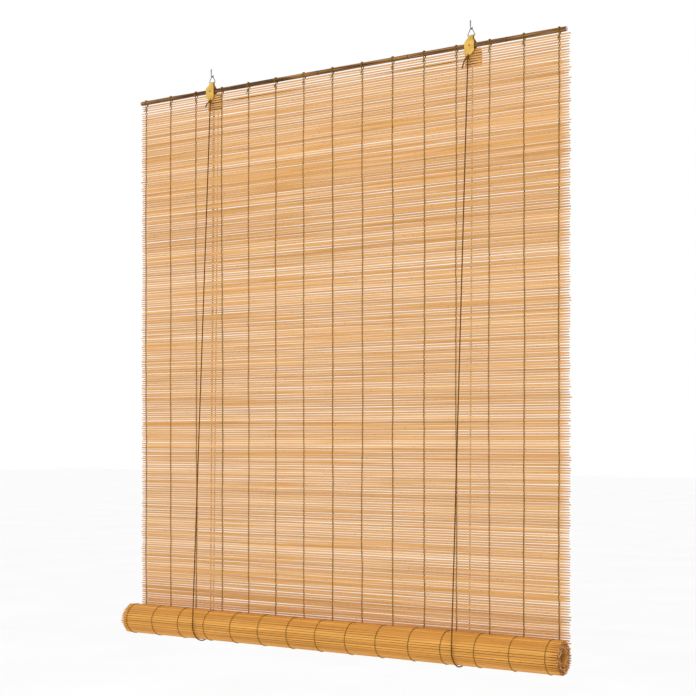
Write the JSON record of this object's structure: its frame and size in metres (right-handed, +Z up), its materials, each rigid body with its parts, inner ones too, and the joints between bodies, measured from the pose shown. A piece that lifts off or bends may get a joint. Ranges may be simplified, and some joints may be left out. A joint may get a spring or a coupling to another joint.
{
  "type": "bamboo roll up blind",
  "caption": "Bamboo roll up blind hung from screw hooks, partly let down, with a cane head rod, brass-coloured hangers, brown lift cords and the wound slats in a roll at its foot.",
  "frame": {"origin": "midway between the two screw hooks, in the plane of the ceiling that they are screwed into", "axes": "+X along the blind to the right as seen from the room, -Y towards the room, +Z up along the hooks' shanks"},
  "size_m": [0.9076, 0.0716, 1.0694],
  "materials": {
    "cane": "natural brown cane, satin",
    "split_bamboo": "split bamboo, orange tan, matte",
    "warp_thread": "twisted brown thread",
    "brassed_sheet": "brass-plated pressed sheet",
    "steel_wire": "zinc-plated wire",
    "nail_steel": "dull plated nail and rivet",
    "wheel_plastic": "brown moulded plastic",
    "brown_cord": "brown braided cord"
  },
  "bodies": {
    "root": {"screw_hook_left": "steel_wire", "screw_hook_right": "steel_wire", "bail_left": "steel_wire", "bail_right": "steel_wire"},
    "blind": {"head_rod": "cane", "bracket_left": "brassed_sheet", "bracket_right": "brassed_sheet", "bracket_nail_left": "nail_steel", "bracket_nail_right": "nail_steel", "wheel_rivet_left": "nail_steel", "wheel_rivet_right": "nail_steel", "warp_knots": "warp_thread", "hanging_slats": "split_bamboo", "warp_thread_01": "warp_thread", "warp_thread_02": "warp_thread", "warp_thread_03": "warp_thread", "warp_thread_04": "warp_thread", "warp_thread_05": "warp_thread", "warp_thread_06": "warp_thread", "warp_thread_07": "warp_thread", "warp_thread_08": "warp_thread", "warp_thread_09": "warp_thread", "warp_thread_10": "warp_thread", "warp_thread_11": "warp_thread", "warp_thread_12": "warp_thread", "warp_thread_13": "warp_thread", "warp_thread_14": "warp_thread", "warp_thread_15": "warp_thread", "cord_knot_left": "brown_cord", "cord_knot_right": "brown_cord", "lift_cord_front_left": "brown_cord", "lift_cord_front_right": "brown_cord", "lift_cord_back_left": "brown_cord", "lift_cord_back_right": "brown_cord", "lift_cord_turn_left": "brown_cord", "lift_cord_cross_run": "brown_cord", "pull_cord_left": "brown_cord", "pull_cord_right": "brown_cord", "pull_cord_knot": "brown_cord"},
    "wheel_left_front": {"guide_wheel_left_front": "wheel_plastic"},
    "wheel_left_rear": {"guide_wheel_left_rear": "wheel_plastic"},
    "wheel_right": {"guide_wheel_right": "wheel_plastic"},
    "slings": {"lift_cord_sling_left": "brown_cord", "lift_cord_sling_right": "brown_cord"},
    "roll": {"roll": "split_bamboo", "roll_threads": "warp_thread", "bottom_rod": "cane"}
  },
  "joints": [
    {"name": "swing", "type": "hinge", "parent": "root", "child": "blind", "pos_m": [0, 0.003, -0.0178], "axis": [1, 0, 0], "range_deg": [-20, 20]},
    {"name": "roll_lift", "type": "slide", "parent": "blind", "child": "slings", "axis": [0, 0, 1], "range_m": [0, 0.82], "deforming": ["hanging_slats", "warp_thread_01", "warp_thread_02", "warp_thread_03", "warp_thread_04", "warp_thread_05", "warp_thread_06", "warp_thread_07", "warp_thread_08", "warp_thread_09", "warp_thread_10", "warp_thread_11", "warp_thread_12", "warp_thread_13", "warp_thread_14", "warp_thread_15", "lift_cord_front_left", "lift_cord_front_right", "lift_cord_back_left", "lift_cord_back_right"]},
    {"name": "roll_turn", "type": "hinge", "parent": "slings", "child": "roll", "pos_m": [0, -0.0279, -1.03], "axis": [1, 0, 0], "continuous": true},
    {"name": "wheel_left_front_turn", "type": "hinge", "parent": "blind", "child": "wheel_left_front", "pos_m": [-0.2695, 0.005, -0.059], "axis": [0, 1, 0], "continuous": true},
    {"name": "wheel_left_rear_turn", "type": "hinge", "parent": "blind", "child": "wheel_left_rear", "pos_m": [-0.2695, 0.0086, -0.059], "axis": [0, 1, 0], "continuous": true},
    {"name": "wheel_right_turn", "type": "hinge", "parent": "blind", "child": "wheel_right", "pos_m": [0.2695, 0.0086, -0.059], "axis": [0, 1, 0], "continuous": true}
  ],
  "couplings": [
    {"joint": "roll_turn", "follows": "roll_lift", "rad_per_m": -35.842},
    {"joint": "wheel_left_front_turn", "follows": "roll_lift", "rad_per_m": -333.33},
    {"joint": "wheel_left_rear_turn", "follows": "roll_lift", "rad_per_m": -333.33},
    {"joint": "wheel_right_turn", "follows": "roll_lift", "rad_per_m": -333.33}
  ]
}
